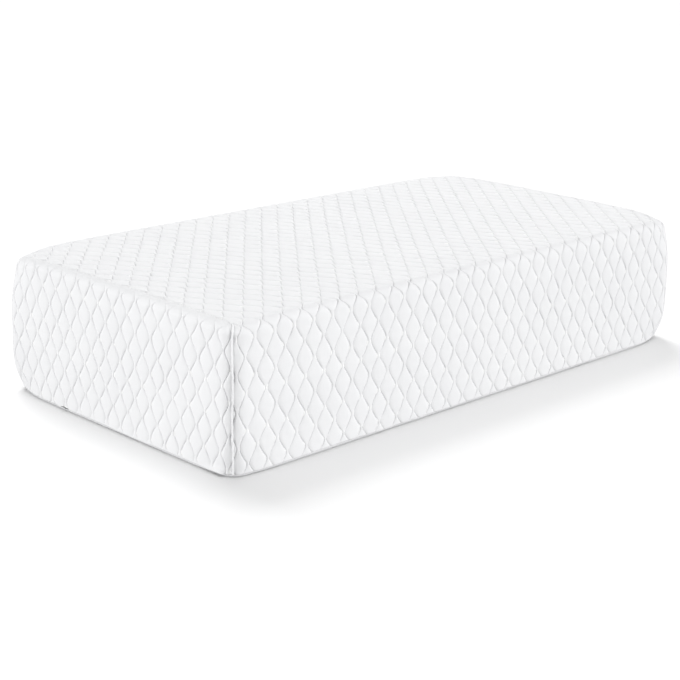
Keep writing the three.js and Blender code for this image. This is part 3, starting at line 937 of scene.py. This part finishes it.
def softened(node, name, look, edge, cuts=(), segments=2, body="mattress"):
    """A copy of a CAD solid with eased edges; the cuts let it follow the soft corners."""
    mesh = frame["nodes"][node].data.copy()
    mesh.name = name
    mesh.materials.clear()
    mesh.materials.append(MATERIALS[look])
    work = bmesh.new()
    work.from_mesh(mesh)
    bmesh.ops.remove_doubles(work, verts=work.verts, dist=1e-6)
    flat = math.radians(2)
    bmesh.ops.dissolve_limit(work, angle_limit=flat, verts=work.verts, edges=work.edges)
    if edge:
        paired = [e for e in work.edges if len(e.link_faces) == 2]
        sharp = [e for e in paired if e.calc_face_angle(0) > math.radians(35)]
        settings = {"segments": segments, "profile": 0.6, "affect": "EDGES", "clamp_overlap": True}
        bmesh.ops.bevel(work, geom=sharp, offset=edge, **settings)
    for axis, at in cuts:
        direction = [0, 0, 0]
        direction[axis] = 1
        point = [0, 0, 0]
        point[axis] = at
        whole = [*work.verts, *work.edges, *work.faces]
        bmesh.ops.bisect_plane(work, geom=whole, plane_co=point, plane_no=direction, dist=1e-6)
    bmesh.ops.triangulate(work, faces=[f for f in work.faces if len(f.verts) > 4])
    work.to_mesh(mesh)
    work.free()
    if cuts:
        points = np.zeros(len(mesh.vertices) * 3)
        mesh.vertices.foreach_get("co", points)
        mesh.vertices.foreach_set("co", settle(points.reshape(-1, 3)).ravel())
    piece = finish_piece(name, mesh, [node], body)
    mesh.set_sharp_from_angle(angle=math.radians(40))
    mesh.update()
    return piece


def soft_cuts():
    """Planes that cut a block finely near its corners and coarsely elsewhere."""
    near = [d * MM for d in (20, 45, 70, 100, 135, 180, 240)]
    found = []
    for sign in (-1, 1):
        found += [(0, sign * (HALF_LENGTH - d)) for d in near]
        found += [(1, sign * (HALF_WIDTH - d)) for d in near]
    found += [(2, z * MM) for z in (20, 45, 70, 100, 140, 330, 350, 370, 385)]
    return found


def inner_pieces():
    """The foam core, the barrier sock and the backings."""
    cuts = soft_cuts()
    foam = [
        ("support_foam_base", "support_foam_block", "support", "support_foam"),
        ("transition_foam_layer", "transition_foam_slab", "transition", "transition_foam"),
        ("memory_foam_layer", "memory_foam_slab", "memory", "memory_foam"),
    ]
    for node, name, look, slot in foam:
        softened(node, name, look, 1.5 * MM, cuts)
    shells = [
        ("barrier_sock", "sock_sleeve", "sock", "barrier_knit"),
        ("barrier_sock_head_closure", "sock_closure_head", "sock", "barrier_knit"),
        ("barrier_sock_foot_closure", "sock_closure_foot", "sock", "barrier_knit"),
        ("cover_wrap_backing", "wrap_backing_web", "backing", "quilt_backing"),
        ("head_panel_backing", "head_backing_web", "backing", "quilt_backing"),
        ("foot_panel_backing", "foot_backing_web", "backing", "quilt_backing"),
    ]
    made = {}
    for node, name, look, slot in shells:
        made[node] = softened(node, name, look, 0, cuts)
    return made


zip_bands()
past = 0.3 * MM  # the coils go on a little past the stops
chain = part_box("zip_start_stop")[0].y - past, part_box("zip_end_stop")[1].y + past
coil_piece("zip_coil_upper_loops", "zip_coil_upper", *chain, flip=False)
coil_piece("zip_coil_lower_loops", "zip_coil_lower", *chain, flip=True)
softened("zip_slider", "zip_slider_body", "metal", 0.25 * MM, body="slider")
softened("zip_pull_tab", "zip_pull", "metal", 0.25 * MM, body="pull_tab")
softened("zip_start_stop", "zip_stop_start", "metal", 0.4 * MM)
softened("zip_end_stop", "zip_stop_end", "metal", 0.4 * MM)
softened("zip_end_cap", "zip_cap_cloth", "tape", 0.8 * MM, segments=3)
inner = inner_pieces()
base_cloth = softened(
    "bottom_panel", "bottom_cloth", "base", 0.5 * MM, soft_cuts()
)


# ---------------------------------------------------------------- studio
WORLD_STRENGTH = 0.46
# name, where it comes from, spread in degrees, power, whether it lights the floor alone
LIGHTS = (
    ("softbox_right", (0.37, -0.88, 0.28), 35, 2.66, False),
    ("softbox_left", (-0.86, 0.34, 0.22), 35, 2.83, False),
    ("softbox_back", (0.66, 0.62, 0.43), 32, 1.42, False),
    ("floor_above", (0.0, 0.0, 1.0), 60, 1.0, True),
    ("floor_back", (0.24, 0.54, 0.8), 28, 1.35, True),
)
FLOOR_SIZE = 60
EYE = (-3.3645, -3.2788, 1.4981)
LENS = 83.54  # mm, on a sensor 36 mm wide


def make_floor():
    """A wide pale floor that throws no diffuse light back on the mattress."""
    bpy.ops.mesh.primitive_plane_add(size=FLOOR_SIZE, location=(0, 0, 0))
    floor = bpy.context.object
    floor.name = "studio_floor"
    floor.data.materials.append(floor_material())
    floor.visible_diffuse = False
    return floor


def reach(light, floor, floor_alone):
    """Lets a light fall on the floor alone, or on everything but the floor."""
    group = bpy.data.collections.new(light.name + "_reach")
    group.objects.link(floor)
    light.light_linking.receiver_collection = group
    state = "INCLUDE" if floor_alone else "EXCLUDE"
    group.collection_objects[0].light_linking.link_state = state


def soft_sun(name, direction, spread, power):
    """A very large, far softbox: light from `direction`, spread over `spread` degrees."""
    data = bpy.data.lights.new(name, "SUN")
    data.angle = math.radians(spread)
    data.energy = power
    light = bpy.data.objects.new(name, data)
    bpy.context.scene.collection.objects.link(light)
    light.location = Vector(direction) * 4  # only for the eye: a sun shines the same from anywhere
    light.rotation_mode = "QUATERNION"
    light.rotation_quaternion = (-Vector(direction)).to_track_quat("-Z", "Y")
    return light


def make_lights(floor):
    world = bpy.data.worlds.new("studio")
    world.use_nodes = True
    background = world.node_tree.nodes["Background"]
    background.inputs["Color"].default_value = (1, 1, 1, 1)
    background.inputs["Strength"].default_value = WORLD_STRENGTH
    bpy.context.scene.world = world
    for name, direction, spread, power, floor_alone in LIGHTS:
        reach(soft_sun(name, direction, spread, power), floor, floor_alone)


def make_camera():
    """The eye stands off the near corner, a little above the mattress, with a long lens."""
    heading, dip, roll = math.radians(44.99), math.radians(16.96), math.radians(1.14)
    level = math.cos(dip)
    forward = Vector((level * math.cos(heading), level * math.sin(heading), -math.sin(dip)))
    right = Vector((math.sin(heading), -math.cos(heading), 0))
    up = right.cross(forward)
    turned_right = right * math.cos(roll) + up * math.sin(roll)
    turned_up = -right * math.sin(roll) + up * math.cos(roll)
    data = bpy.data.cameras.new("camera")
    data.sensor_width = 36
    data.lens = LENS
    camera = bpy.data.objects.new("camera", data)
    bpy.context.scene.collection.objects.link(camera)
    axes = Matrix((turned_right, turned_up, -forward)).transposed()
    camera.matrix_world = Matrix.Translation(EYE) @ axes.to_4x4()
    bpy.context.scene.camera = camera


make_lights(make_floor())
make_camera()
bpy.context.scene.view_settings.view_transform = "Standard"
